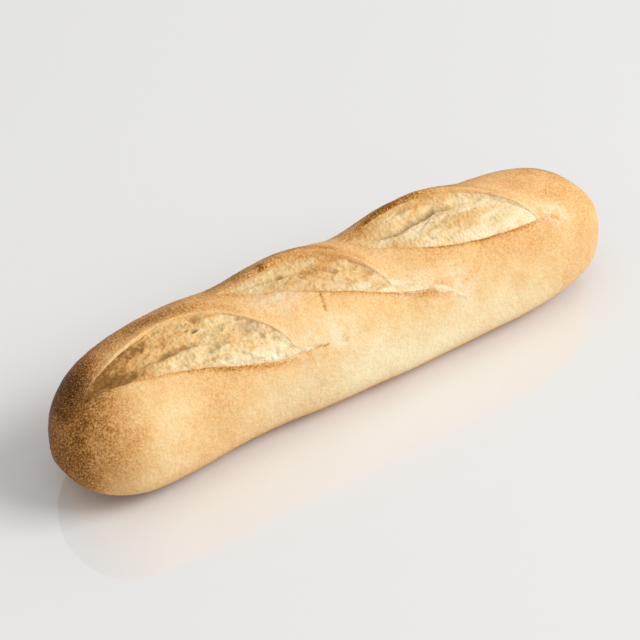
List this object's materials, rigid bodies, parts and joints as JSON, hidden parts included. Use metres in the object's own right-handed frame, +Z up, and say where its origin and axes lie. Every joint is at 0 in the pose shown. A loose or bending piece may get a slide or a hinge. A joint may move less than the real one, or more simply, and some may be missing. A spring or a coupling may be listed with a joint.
{
  "type": "baguette",
  "caption": "Short crusty baguette with blunt round ends, a flat base and diagonal slashes that open into raised ears over pale torn crumb",
  "frame": {"origin": "centre of the loaf's length and width, on the plane it rests on", "axes": "+X runs along the loaf, +Z is up, and -Y is the side that the slashes open towards"},
  "size_m": [0.26, 0.0584, 0.0549],
  "materials": {
    "crust": "matte baked crust"
  },
  "bodies": {
    "root": {"loaf": "crust"}
  },
  "joints": []
}
